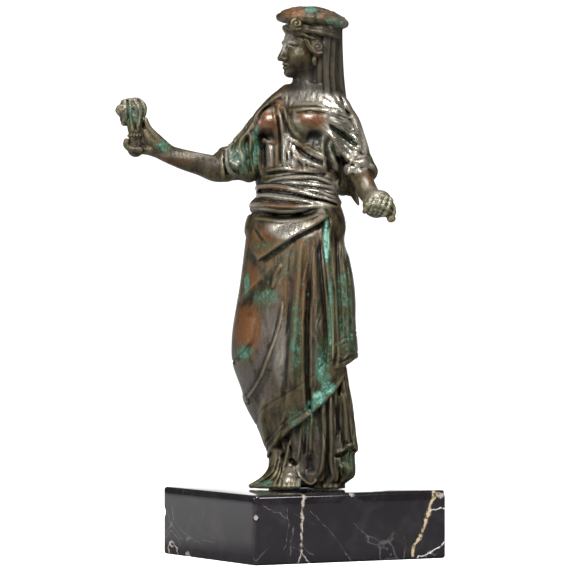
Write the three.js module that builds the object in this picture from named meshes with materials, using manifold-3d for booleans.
// A bronze statuette of a draped woman on a polished marble plinth, in millimetres, +Z up.
// The origin is the centre of the plinth's underside. The plinth's long face looks along -Y.
// The figure is one casting: the cloth, arms, head, cap, veil, feet and what she holds are joined.
import * as THREE from 'three';
import { mergeVertices } from 'three/addons/utils/BufferGeometryUtils.js';
import Module from 'manifold-3d';

const wasm = await Module();
wasm.setup();

// The plinth, and where the figure stands on it
const PLINTH = { length: 80.2, width: 72.3, height: 25, easedEdge: 1.1, easedCorner: 1.8 };
const CONTACT_GAP = 0.3;
const FIGURE_TURN = THREE.MathUtils.degToRad(-29);
const FIGURE_PLACE = { x: 0.3, y: -0.17 };

// The figure's own frame: x to her left hand, -y to her front, z up from the soles.
// She faces a little to -x, so every section of the cloth is slanted by this much.
const BODY_SLANT = 0.42;

// Cloth layers as rows of height, left edge, right edge, front reach and back reach
const UNDERDRESS_ROWS = [
  [0, -12.5, 14.2, 11, 13],
  [2, -13, 14.4, 11.5, 13.5],
  [5, -13, 17.8, 12, 14],
  [12.5, -12.8, 17.7, 12.5, 14.5],
  [14.4, -13, 19, 12.8, 14.8],
  [21.7, -15.5, 18, 13, 15],
  [30.6, -19, 17, 13.5, 15.5],
  [40, -21.5, 15.4, 14, 15.5],
  [54, -22, 13, 14, 15],
];
const OVERSKIRT_ROWS = [
  [8, -13, 13, 13, 14.5],
  [14, -14.4, 15, 14, 15.3],
  [21.5, -17.4, 15.6, 14.8, 16],
  [30, -21.9, 15.6, 15.4, 16.8],
  [36, -23.4, 15.4, 16, 17.4],
  [46, -26.8, 15.4, 17, 18],
  [56, -27, 16.2, 17.6, 18.2],
  [66, -25.6, 17.2, 17.4, 18],
  [74, -24.2, 17, 17, 17.6],
  [84.6, -22.8, 14.9, 16, 17],
  [92, -21.9, 13.6, 15, 16.6],
  [99, -20.8, 13.8, 14, 15.6],
  [104, -18.4, 12.6, 12.4, 13.2],
];
const FLAP_ROWS = [
  [43, -20, 19, 17.4, 18.8],
  [48.5, -20, 19.8, 18, 19.2],
  [62, -20, 18.9, 18.6, 19.2],
  [70, -20, 18.8, 18.2, 19],
  [77, -20, 18, 17.8, 18.4],
  [85, -18, 16.4, 17, 17.8],
  [91, -16, 14.8, 16.2, 17.2],
  [98, -15, 15.2, 15.2, 16.4],
  [104, -14, 13.6, 12.8, 13.8],
];
const SASH_ROWS = [
  [100, -19.2, 13.4, 12.8, 13.6],
  [103, -20.2, 13.6, 13, 13.4],
  [105.5, -20, 13.4, 12.8, 13],
  [108, -18, 12.8, 12.2, 12.6],
  [112, -18, 12.6, 12, 12.2],
  [115.5, -17.6, 12.2, 11.6, 11.8],
  [117.5, -16, 11, 10.6, 10.8],
];
const BODICE_ROWS = [
  [112, -16.8, 11.4, 10.6, 10.8],
  [117, -17.8, 12.2, 10.8, 11],
  [125, -18.6, 14, 11.2, 11.8],
  [133, -18.8, 16, 11.6, 12],
  [138, -18, 16.8, 10.8, 11.8],
  [142, -15.6, 16.4, 9, 10.6],
  [146, -11.6, 13.6, 7, 8.6],
  [149.5, -7.4, 9.4, 5.4, 6.6],
];

// How high the hems hang, by place across the body from -1 at the left edge to 1 at the right
const OVERSKIRT_HEM = [[-1, 10.5], [-0.8, 14.6], [-0.35, 20.6], [0.22, 26.9], [0.78, 36.1], [1, 43]];
const FLAP_HEM = [[-1, 52], [0, 48], [0.6, 44.3], [1, 48.2]];
const FLAP_EDGE_TURN = THREE.MathUtils.degToRad(-52);
const FLAP_BACK_TURN = THREE.MathUtils.degToRad(66);
const FLAP_EDGE_SPREAD = THREE.MathUtils.degToRad(5);
const FLAP_BURY = 3;

// Folds that the front shows: where they run, how far they stand out and their width on each side.
// A fold drawn downwards has its left side first, and one drawn to the left its upper side last.
const SKIRT_FOLDS = [
  { run: [[8.8, 100], [7.2, 93], [8.4, 80], [9.4, 62], [9.9, 42]], out: 1.9, wide: [1.8, 3.4] },
  { run: [[6.2, 92], [5.6, 75], [6, 55], [6.3, 38]], out: -1.3, wide: [1.8, 1.6] },
  { run: [[1.6, 84], [1.1, 72], [-0.3, 60], [0, 38], [1.8, 28]], out: -2.3, wide: [1.8, 2.4] },
  { run: [[-1.5, 94], [-1.8, 84], [-3.4, 72], [-4, 54], [-3.8, 36]], out: 1.3, wide: [2.8, 1.8] },
  { run: [[-9, 66], [-9.8, 61], [-12.6, 52], [-17.5, 41], [-21.3, 32]], out: 1.5, wide: [1.1, 3.2] },
  { run: [[-9.6, 90], [-13, 80], [-18.6, 73], [-23.4, 66]], out: -1.2, wide: [1.6, 2.2] },
  { run: [[-19, 56], [-22, 50], [-25, 46.5]], out: -0.8, wide: [1.8, 1.8] },
  { run: [[-6.4, 56], [-8, 40], [-11.6, 24]], out: -0.9, wide: [1.8, 1.8] },
  { run: [[-15, 34], [-16, 25], [-13.6, 13]], out: 0.9, wide: [1.6, 2] },
  { run: [[9.4, 103], [-0.5, 97.6], [-9.8, 92.4], [-17.4, 85.8]], out: 1.5, wide: [0.9, 5] },
  { run: [[4, 103], [-6.5, 100.6], [-16.7, 102]], out: -1.8, wide: [1.4, 1.4] },
];
const SASH_FOLDS = [
  { run: [[12.5, 113], [5, 115], [-6, 115.4], [-17, 113.6]], out: 1, wide: [1.4, 1.6] },
  { run: [[9.3, 106.4], [-0.2, 109.2], [-5.7, 111], [-16.3, 111.2]], out: 1.5, wide: [1.4, 1.5] },
  { run: [[12.6, 104.2], [4.8, 106.6], [-1.1, 108.3], [-14.6, 109.3]], out: -1.1, wide: [0.8, 0.8] },
  { run: [[5.4, 104.6], [-0.2, 106.6], [-14.2, 107.6]], out: 1, wide: [1, 1.1] },
  { run: [[0.7, 103.8], [-7.8, 103.6], [-20.1, 104.4]], out: 1.1, wide: [1.3, 1] },
];
const BODICE_FOLDS = [
  { run: [[-10.4, 144], [-8.4, 132], [-8, 119]], out: 1.3, wide: [1.5, 1.5] },
  { run: [[-9.6, 143], [-6.6, 136], [-2.4, 129], [3, 123], [8, 119]], out: 1.4, wide: [1.4, 1.6] },
  { run: [[-7.4, 133], [-3.6, 125], [-1.4, 118]], out: 1, wide: [1.2, 1.4] },
  { run: [[-17.4, 132], [-16.4, 122], [-16, 116]], out: 0.9, wide: [1.2, 1.4] },
  { run: [[14, 138.6], [8, 140], [1, 140.2], [-5.4, 139.4]], out: 0.9, wide: [1.6, 1.2] },
  { run: [[8.6, 134], [9, 126], [7, 118]], out: -1.6, wide: [1.8, 1.8] },
];

// Plain pleats that run round a layer: how many, how deep, and how they lean as they rise
const UNDERDRESS_PLEATS = { count: 17, depth: 1.9, lean: 0.004 };
const OVERSKIRT_PLEATS = { count: 11, depth: 1.1, lean: 0.02 };
const BODICE_PLEATS = { count: 13, depth: 0.6, lean: -0.02 };

// Arms, neck and head: points along the middle with the radius at each
const RIGHT_SLEEVE = {
  run: [[-9.8, 4, 141.6], [-14.6, 5, 134.8], [-19.2, 4.6, 128.2], [-24.4, 3.4, 121.4], [-29.4, 2.4, 120]],
  radii: [4.4, 5.2, 5.4, 6.6, 5.6],
};
const RIGHT_SAG = { centre: [-20.6, 3.4, 118.6], reach: [4.4, 5, 5.6] };
const RIGHT_CUFF = { run: [[-29.8, 2.4, 119.7], [-32, 1.8, 119.9]], ring: 4.8, roll: 1.4 };
const RIGHT_FOREARM = {
  run: [[-29, 2.6, 117.6], [-33, 1.6, 118.1], [-38, 0.4, 119.6], [-44, -1.4, 121.2], [-50, -3, 123.2],
    [-54.5, -3.6, 124.9]],
  radii: [4.4, 4.8, 4.2, 3.8, 3.4, 2.9],
};
const RIGHT_PALM = {
  run: [[-51, -4, 125], [-55, -4, 127], [-58.4, -3.8, 128.6]],
  radii: [2.6, 3.7, 2.6],
};
const FINGERS = { count: 4, spread: 1.95, radius: 0.95, curl: 2.3 };
const RIGHT_FINGERS = { root: [-59.4, -4, 125.6], tip: [-66, -4, 127] };
const RIGHT_THUMB = {
  run: [[-54, -5.4, 128.6], [-56.4, -6, 132], [-58, -5.8, 135.8]],
  radii: [2.3, 1.6, 0.9],
};
const BUNCH_STEM = { run: [[-62.8, -4, 124.6], [-62.6, -4, 129], [-64, -4, 133.6]], radii: [1.8, 1.7, 2.6] };
const BUNCH = {
  centre: new THREE.Vector3(-63.8, -4, 138.4),
  reach: new THREE.Vector3(5.4, 4.6, 5.2),
  lumps: 4,
  lumpHeight: 0.14,
};
const LEFT_SLEEVE = {
  run: [[11, -4, 141.6], [14.6, -5, 135.6], [17.2, -5, 128.4], [19.4, -5.4, 122], [20.8, -6.4, 117.8]],
  radii: [4.6, 5.2, 5, 5.2, 5.2],
};
const LEFT_DRAPE = {
  run: [[10.5, 5, 134], [14, 4, 124], [16, 2, 115.5], [17.6, 0, 109.6]],
  radii: [4.6, 4.8, 4.4, 1.8],
};
const LEFT_CUFF = { run: [[20.8, -7.6, 116.6], [21.4, -10, 115.6]], ring: 4.6, roll: 1.4 };
const LEFT_FOREARM = {
  run: [[21, -6, 116], [21.8, -12, 113], [23, -18, 109.8], [24.6, -23.4, 106.6]],
  radii: [4.2, 4, 3.7, 3.4],
};
const LEFT_PALM = { run: [[25, -23, 106], [25.8, -26.6, 104], [26.4, -29, 103]], radii: [3.2, 4, 2.8] };
const LEFT_FINGERS = { root: [28.6, -29, 105], tip: [22.8, -30.4, 101.8] };
const LEFT_THUMB = { run: [[24, -26, 106.4], [24.6, -29.4, 107], [26.6, -31, 106.4]], radii: [1.4, 1.3, 1] };
const POSY = {
  centre: new THREE.Vector3(27, -27.6, 103.9),
  reach: new THREE.Vector3(5, 4.4, 5),
  lumps: 3,
  lumpHeight: 0.14,
};
const POSY_DROP = { run: [[29.8, -28, 101.6], [31, -28, 99.2]], radii: [1.8, 1.4] };

const TRAIL = {
  run: [[-10.6, -2, 13], [-12.4, -3.4, 7], [-15.6, -4.4, 3], [-19.6, -5, 1.3]],
  radii: [2.6, 2.3, 2, 1.2],
};
const NECK = { run: [[0.6, 0.2, 144], [0.2, -0.2, 151], [-0.6, -0.8, 158]], radii: [6.4, 4.4, 4.3] };
const HEAD_TURN = THREE.MathUtils.degToRad(-66);
const HEAD_PLACE = [0.4, -0.6, 163.6];
const HEAD_TILT = THREE.MathUtils.degToRad(3);
const VEIL = { centre: [2.4, 0.6], top: 173, foot: 141, reach: 11.8, flare: 2.2, opening: 0.9, folds: 13 };

const BRONZE = new THREE.MeshStandardMaterial({ color: 0x3a2f24, roughness: 0.36, metalness: 0.9 });
const MARBLE = new THREE.MeshStandardMaterial({ color: 0x1d1a1c, roughness: 0.12, metalness: 0 });

// Makes a closed geometry into a solid that can be joined or cut.
function solidFrom(geometry) {
  geometry.deleteAttribute('normal');
  geometry.deleteAttribute('uv');
  const merged = mergeVertices(geometry, 1e-4);
  return new wasm.Manifold(new wasm.Mesh({
    numProp: 3,
    vertProperties: new Float32Array(merged.attributes.position.array),
    triVerts: new Uint32Array(merged.index.array),
  }));
}

function geometryFrom(solid) {
  const mesh = solid.getMesh();
  const geometry = new THREE.BufferGeometry();
  geometry.setAttribute('position', new THREE.BufferAttribute(new Float32Array(mesh.vertProperties), 3));
  geometry.setIndex(new THREE.BufferAttribute(new Uint32Array(mesh.triVerts), 1));
  geometry.computeVertexNormals();
  return geometry;
}

function join(solids) {
  return solids.reduce((whole, piece) => whole.add(piece));
}

function smoothstep(low, high, value) {
  return THREE.MathUtils.smoothstep(value, low, high);
}

// Smooth values between rows whose first number is the place and the rest are the values there.
function smoothRows(rows) {
  const places = rows.map((row) => row[0]);
  const values = rows.flatMap((row) => row.slice(1));
  const curve = new THREE.CubicInterpolant(places, values, rows[0].length - 1);
  return (place) => Array.from(curve.evaluate(THREE.MathUtils.clamp(place, places[0], places.at(-1))));
}

// A closed column whose points are placed by turn, height from 0 to 1, and reach from the middle.
function column(sides, steps, place) {
  const geometry = new THREE.CylinderGeometry(1, 1, 1, sides, steps);
  geometry.rotateX(Math.PI / 2);
  const position = geometry.attributes.position;
  for (let i = 0; i < position.count; i += 1) {
    const x = position.getX(i);
    const y = position.getY(i);
    const point = place(Math.atan2(y, x), position.getZ(i) + 0.5, Math.hypot(x, y));
    position.setXYZ(i, point.x, point.y, point.z);
  }
  return solidFrom(geometry);
}

// How far a set of folds stands out at one place of the front.
function foldLift(folds, x, z) {
  let lift = 0;
  for (const fold of folds) {
    let nearest = Infinity;
    let side = 0;
    for (let i = 1; i < fold.line.length; i += 1) {
      const from = fold.line[i - 1];
      const to = fold.line[i];
      const run = { x: to.x - from.x, z: to.z - from.z };
      const along = ((x - from.x) * run.x + (z - from.z) * run.z) / (run.x ** 2 + run.z ** 2);
      const part = THREE.MathUtils.clamp(along, 0, 1);
      const off = { x: x - from.x - part * run.x, z: z - from.z - part * run.z };
      const distance = Math.hypot(off.x, off.z);
      if (distance < nearest) {
        nearest = distance;
        side = run.x * off.z - run.z * off.x;
      }
    }
    const width = side < 0 ? fold.wide[0] : fold.wide[1];
    const fade = Math.max(0, 1 - (nearest / width) ** 2);
    lift += fold.out * fade * fade;
  }
  return lift;
}

// Draws each fold's run as a smooth line once, so that foldLift only measures to it.
function drawn(folds) {
  return folds.map((fold) => {
    const points = fold.run.map(([x, z]) => new THREE.Vector3(x, 0, z));
    return { ...fold, line: new THREE.CatmullRomCurve3(points).getPoints(3 * points.length) };
  });
}

// Round-backed pleats with narrow valleys between them.
function pleatLift(pleats, turn, z) {
  const wander = turn + 0.16 * Math.sin(3 * turn + 0.7) + pleats.lean * z;
  return pleats.depth * (Math.abs(Math.cos(0.5 * pleats.count * wander + Math.sin(turn))) ** 0.7 - 0.6);
}

// A point of a cloth layer: its section at a height, pushed out by the folds.
function clothPoint(rowsAt, turn, z, out) {
  const [left, right, front, back] = rowsAt(z);
  const middle = (left + right) / 2;
  const across = Math.cos(turn) * (right - left) / 2;
  const deep = Math.sin(turn) * (Math.sin(turn) < 0 ? front : back);
  const stretch = 1 + out(middle + across, z) / Math.hypot(across, deep);
  return new THREE.Vector3(middle + across * stretch, (deep - BODY_SLANT * across) * stretch, z);
}

// A cloth layer from its lower edge up to a level top. More points lie on the front than on the back.
function clothLayer({ rows, sides, steps, hem, top, out }) {
  const rowsAt = smoothRows(rows);
  return column(sides, steps, (evenTurn, height, reach) => {
    const turn = evenTurn - 0.3 * Math.cos(evenTurn);
    const low = hem(turn);
    const z = THREE.MathUtils.lerp(low, top, height);
    const point = clothPoint(rowsAt, turn, z, (x, level) => out(turn, x, level));
    if (reach < 0.5) {
      const [left, right] = rowsAt(z);
      point.set((left + right) / 2, 0, height < 0.5 ? hem(0.5 * Math.PI) : top);
    }
    return point;
  });
}

// Front folds fade out at the sides, where the layer's rows already give the outline.
function frontShare(turn) {
  return smoothstep(0.04, 0.4, -Math.sin(turn));
}

// A round-ended limb along a smooth line through points, with the radius at each of them.
function limb({ run, radii }, sides, steps, shape = () => 1) {
  const curve = new THREE.CatmullRomCurve3(run.map((point) => new THREE.Vector3(...point)));
  const radiusAt = smoothRows(radii.map((radius, i) => [i / (radii.length - 1), radius]));
  const dome = 1.5 / steps;
  return column(sides, steps, (turn, height, reach) => {
    const along = THREE.MathUtils.clamp((height - dome) / (1 - 2 * dome), 0, 1);
    const past = Math.max(0, dome - height, height - 1 + dome) / dome;
    const lean = reach < 0.5 ? Math.PI / 2 : past * Math.PI * 0.4;
    const t = curve.getUtoTmapping(along);
    const tangent = curve.getTangent(t);
    const side = new THREE.Vector3(0.2, 1, 0.1).cross(tangent).normalize();
    const up = new THREE.Vector3().crossVectors(tangent, side);
    const radius = radiusAt(along)[0] * (past > 0 ? 1 : shape(turn, along));
    const overshoot = Math.sign(height - 0.5) * radius * Math.sin(lean);
    const wide = reach < 0.5 ? 0 : radius * Math.cos(lean);
    return curve.getPoint(t)
      .addScaledVector(tangent, overshoot)
      .addScaledVector(side, wide * Math.cos(turn))
      .addScaledVector(up, wide * Math.sin(turn));
  });
}

function ball(centre, reach, sides, rings) {
  const geometry = new THREE.SphereGeometry(1, sides, rings);
  geometry.rotateX(Math.PI / 2);
  geometry.scale(...reach);
  geometry.translate(...centre);
  return solidFrom(geometry);
}

// A rolled cuff: a ring across the sleeve's end, square to the line between its two points.
function cuff({ run, ring, roll }) {
  const from = new THREE.Vector3(...run[0]);
  const to = new THREE.Vector3(...run[1]);
  const geometry = new THREE.TorusGeometry(ring, roll, 5, 12);
  const facing = to.clone().sub(from).normalize();
  geometry.applyQuaternion(new THREE.Quaternion().setFromUnitVectors(new THREE.Vector3(0, 0, 1), facing));
  geometry.translate(...from.lerp(to, 0.5).toArray());
  return solidFrom(geometry);
}

// Four fingers side by side that bend from the root to the tip.
function fingers({ root, tip }) {
  const { count, spread, radius, curl } = FINGERS;
  const list = [];
  for (let i = 0; i < count; i += 1) {
    const across = (i - (count - 1) / 2) * spread;
    const run = [root, [0.5 * (root[0] + tip[0]), root[1], 0.5 * (root[2] + tip[2]) - curl], tip];
    const shifted = run.map(([x, y, z]) => [x, y + across, z]);
    list.push(limb({ run: shifted, radii: [radius, radius, 0.85 * radius] }, 5, 3));
  }
  return join(list);
}

// An egg-shaped bunch whose skin is pushed out in round lumps.
function bunch({ centre, reach, lumps, lumpHeight }) {
  const geometry = new THREE.SphereGeometry(1, 12, 8);
  geometry.rotateX(Math.PI / 2);
  const position = geometry.attributes.position;
  const point = new THREE.Vector3();
  for (let i = 0; i < position.count; i += 1) {
    point.fromBufferAttribute(position, i);
    const turn = Math.atan2(point.y, point.x);
    const wide = Math.hypot(point.x, point.y);
    const lump = wide * Math.sin(lumps * turn) * Math.cos(lumps * point.z);
    point.multiplyScalar(1 + lumpHeight * lump).multiply(reach).add(centre);
    position.setXYZ(i, point.x, point.y, point.z);
  }
  return solidFrom(geometry);
}

// The long under-dress: deep upright pleats that stand on the plinth and lift over the feet.
function underdress() {
  return clothLayer({
    rows: UNDERDRESS_ROWS,
    sides: 56,
    steps: 6,
    hem: (turn) => 4.2 * Math.exp(-(((turn + 1.95) / 0.3) ** 2)),
    top: 54,
    out: (turn, x, z) => pleatLift(UNDERDRESS_PLEATS, turn, z),
  });
}

// The wrapped over-skirt: its hem falls from the right hip side to the left ankle.
function overskirt() {
  const hemAt = smoothRows(OVERSKIRT_HEM);
  const folds = drawn(SKIRT_FOLDS);
  return clothLayer({
    rows: OVERSKIRT_ROWS,
    sides: 54,
    steps: 15,
    hem: (turn) => hemAt(Math.cos(turn))[0],
    top: 104,
    out: (turn, x, z) => frontShare(turn) * foldLift(folds, x, z)
      + (1 - frontShare(turn)) * pleatLift(OVERSKIRT_PLEATS, turn, z) * smoothstep(0, 0.5, Math.sin(turn)),
  });
}

// The free end of the wrap: a second thickness that hangs over the right side.
function flap() {
  const hemAt = smoothRows(FLAP_HEM);
  const folds = drawn(SKIRT_FOLDS.slice(0, 1));
  return clothLayer({
    rows: FLAP_ROWS,
    sides: 38,
    steps: 7,
    hem: (turn) => hemAt(Math.cos(turn))[0],
    top: 104,
    out: (turn, x, z) => {
      const begun = smoothstep(FLAP_EDGE_TURN - FLAP_EDGE_SPREAD, FLAP_EDGE_TURN, turn);
      const ended = smoothstep(FLAP_BACK_TURN, FLAP_BACK_TURN + FLAP_EDGE_SPREAD, turn);
      return foldLift(folds, x, z) * frontShare(turn) - FLAP_BURY * (1 - begun * (1 - ended));
    },
  });
}

function sash() {
  const folds = drawn(SASH_FOLDS);
  return clothLayer({
    rows: SASH_ROWS,
    sides: 40,
    steps: 8,
    hem: () => 100,
    top: 117.5,
    out: (turn, x, z) => foldLift(folds, x, z) * smoothstep(-0.2, 0.3, -Math.sin(turn))
      + 0.5 * Math.sin(1.3 * z + 1.6 * turn) * smoothstep(-0.3, 0.3, Math.sin(turn)),
  });
}

function bodice() {
  const folds = drawn(BODICE_FOLDS);
  const cloth = clothLayer({
    rows: BODICE_ROWS,
    sides: 36,
    steps: 10,
    hem: () => 112,
    top: 149.5,
    out: (turn, x, z) => frontShare(turn) * foldLift(folds, x, z)
      + smoothstep(0.1, 0.6, Math.sin(turn)) * pleatLift(BODICE_PLEATS, turn, z),
  });
  const rightBreast = ball([-12.2, -3.6, 132.8], [5.4, 5.6, 5.4], 10, 6);
  const leftBreast = ball([1.2, -9.2, 134], [5.4, 5.6, 5.4], 10, 6);
  return join([cloth, rightBreast, leftBreast]);
}

function arms() {
  const gathered = (turn, along) => 1 + 0.1 * Math.cos(7 * turn + 4 * along) * Math.sin(Math.PI * along);
  return join([
    limb(RIGHT_SLEEVE, 13, 7, gathered),
    ball(RIGHT_SAG.centre, RIGHT_SAG.reach, 8, 6),
    cuff(RIGHT_CUFF),
    limb(RIGHT_FOREARM, 8, 6),
    limb(RIGHT_PALM, 7, 4),
    fingers(RIGHT_FINGERS),
    limb(RIGHT_THUMB, 5, 3),
    limb(BUNCH_STEM, 6, 4),
    bunch(BUNCH),
    limb(LEFT_SLEEVE, 13, 7, gathered),
    limb(LEFT_DRAPE, 9, 5, gathered),
    cuff(LEFT_CUFF),
    limb(LEFT_FOREARM, 8, 5),
    limb(LEFT_PALM, 7, 4),
    fingers(LEFT_FINGERS),
    limb(LEFT_THUMB, 5, 3),
    bunch(POSY),
    limb(POSY_DROP, 5, 3),
  ]);
}

// The head looks along -x here, and is turned and set on the neck afterwards.
function headSolid() {
  const skull = ball([0.6, 0, 2.6], [9.2, 7.4, 8.6], 11, 7);
  const face = ball([-2.6, 0, -2.4], [6, 5.7, 8], 11, 7);
  const nose = limb({ run: [[-8.2, 0, 1.6], [-9.2, 0, -0.8], [-9.8, 0, -2.2]], radii: [0.9, 1.1, 1.3] }, 5, 3);
  const brow = limb({ run: [[-7, -3.6, 2.6], [-8, 0, 2.3], [-7, 3.6, 2.6]], radii: [0.8, 0.9, 0.8] }, 5, 4);
  const lips = limb({ run: [[-7.6, -1.8, -5], [-8.5, 0, -5], [-7.6, 1.8, -5]], radii: [0.6, 1, 0.6] }, 5, 3);
  const chin = ball([-6.6, 0, -8.2], [2, 2.2, 1.8], 7, 5);
  const hairFringe = limb({
    run: [[-7.6, -2, 6.4], [-5.8, -5.6, 5.6], [-1, -7.6, 4.4], [4, -7.6, 2.6]],
    radii: [1.6, 1.9, 2, 1.6],
  }, 6, 5);
  const farFringe = hairFringe.mirror([0, 1, 0]);
  const curl = new THREE.TorusGeometry(1.2, 0.7, 5, 7);
  curl.rotateY(Math.PI / 2);
  curl.translate(-8.4, -1.2, 7);
  const ears = [-1, 1].map((side) => ball([0.4, side * 7.2, -0.6], [1.5, 0.9, 2.2], 6, 4));
  const lock = limb({ run: [[0.2, -7.2, -2], [-0.4, -7, -4.6]], radii: [0.9, 0.8] }, 5, 3);
  return join([skull, face, nose, brow, lips, chin, hairFringe, farFringe, solidFrom(curl), ...ears, lock]);
}

// The round cap: a shallow dome over a rolled rim, tipped down at the back.
function cap() {
  const profile = [
    [0, -2.6], [8, -2.4], [12, -1.9], [13.2, -1.2], [13.7, 0.2], [13.3, 1.6],
    [12.2, 2.4], [9.6, 3.4], [5.4, 4.5], [0, 5],
  ];
  const geometry = new THREE.LatheGeometry(profile.map(([x, y]) => new THREE.Vector2(x, y)), 18);
  geometry.rotateX(Math.PI / 2);
  geometry.scale(1, 0.86, 1);
  geometry.rotateY(THREE.MathUtils.degToRad(6));
  geometry.translate(2.8, -0.2, 172.9);
  return solidFrom(geometry);
}

// The veil hangs from under the cap round the back of the head and lies on the shoulders.
function veil() {
  const { centre, top, foot, reach, flare, opening, folds } = VEIL;
  return column(28, 5, (turn, height, fromMiddle) => {
    const z = THREE.MathUtils.lerp(foot, top, height);
    const spread = reach + flare * (1 - height) ** 2 + 0.5 * Math.cos(folds * turn);
    const behind = smoothstep(-opening, 0.5 * opening, Math.cos(turn - 0.55));
    const wide = fromMiddle < 0.5 ? 0 : THREE.MathUtils.lerp(0.42 * reach, spread, behind);
    return new THREE.Vector3(centre[0] + wide * Math.cos(turn), centre[1] + wide * Math.sin(turn) * 0.88, z);
  });
}

function head() {
  const turned = headSolid()
    .rotate([0, THREE.MathUtils.radToDeg(HEAD_TILT), 90 + THREE.MathUtils.radToDeg(HEAD_TURN)])
    .translate(HEAD_PLACE);
  return join([limb(NECK, 10, 5), turned, cap(), veil()]);
}

// Bare feet under the hem, and the end of the wrap that trails beside them.
function feet() {
  const toes = [];
  for (let i = 0; i < 5; i += 1) {
    const x = -10.4 + 1.95 * i;
    const tipY = -14.6 - 0.5 * Math.sin(Math.PI * (i + 1) / 6);
    toes.push(limb({ run: [[x, -10.6, 1.7], [x, tipY, 1.1]], radii: [1.1, 0.95] }, 5, 2));
  }
  for (let i = 0; i < 3; i += 1) {
    const x = 7.6 + 2 * i;
    toes.push(limb({ run: [[x, -9.6, 1.8], [x - 0.2, -14.4, 1]], radii: [1.1, 0.9] }, 5, 2));
  }
  return join([
    limb({ run: [[-5.4, -3, 6.4], [-6.2, -8, 5], [-6.4, -11.4, 2.9]], radii: [4.4, 4, 2.8] }, 8, 5),
    limb({ run: [[9.4, -2, 6], [9.8, -7.4, 4.4], [9.8, -10.6, 2.8]], radii: [4, 3.6, 2.6] }, 8, 5),
    limb(TRAIL, 7, 5),
    ...toes,
  ]);
}

// Everything below the soles is cut away, so that she stands flat.
function standingFlat(solid) {
  const below = new THREE.BoxGeometry(80, 80, 20);
  below.translate(0, 0, -10);
  return solid.subtract(solidFrom(below));
}

// The outer skin alone: a pocket that the joined pieces close off inside is filled.
function withoutPockets(solid) {
  return solid.decompose().reduce((outer, skin) => (skin.volume() > outer.volume() ? skin : outer));
}

function bronzeFigure() {
  const cast = join([underdress(), overskirt(), flap(), sash(), bodice(), arms(), head(), feet()]);
  const mesh = new THREE.Mesh(geometryFrom(withoutPockets(standingFlat(cast))), BRONZE);
  mesh.name = 'bronze_figure';
  mesh.rotation.z = FIGURE_TURN;
  mesh.position.set(FIGURE_PLACE.x, FIGURE_PLACE.y, PLINTH.height + CONTACT_GAP);
  return mesh;
}

// The plinth: a slab with eased edges and corners, flat above and below.
function marblePlinth() {
  const { length, width, height, easedEdge, easedCorner } = PLINTH;
  const halfLength = length / 2 - easedEdge;
  const halfWidth = width / 2 - easedEdge;
  const outline = new THREE.Shape();
  outline.moveTo(-halfLength + easedCorner, -halfWidth);
  outline.absarc(halfLength - easedCorner, -halfWidth + easedCorner, easedCorner, -Math.PI / 2, 0);
  outline.absarc(halfLength - easedCorner, halfWidth - easedCorner, easedCorner, 0, Math.PI / 2);
  outline.absarc(-halfLength + easedCorner, halfWidth - easedCorner, easedCorner, Math.PI / 2, Math.PI);
  outline.absarc(-halfLength + easedCorner, -halfWidth + easedCorner, easedCorner, Math.PI, 1.5 * Math.PI);
  const geometry = new THREE.ExtrudeGeometry(outline, {
    depth: height - 2 * easedEdge,
    bevelSize: easedEdge,
    bevelThickness: easedEdge,
    bevelSegments: 2,
    curveSegments: 2,
  });
  geometry.translate(0, 0, easedEdge);
  const mesh = new THREE.Mesh(geometryFrom(solidFrom(geometry)), MARBLE);
  mesh.name = 'marble_plinth';
  return mesh;
}

const group = new THREE.Group();
group.add(marblePlinth(), bronzeFigure());
export default group;
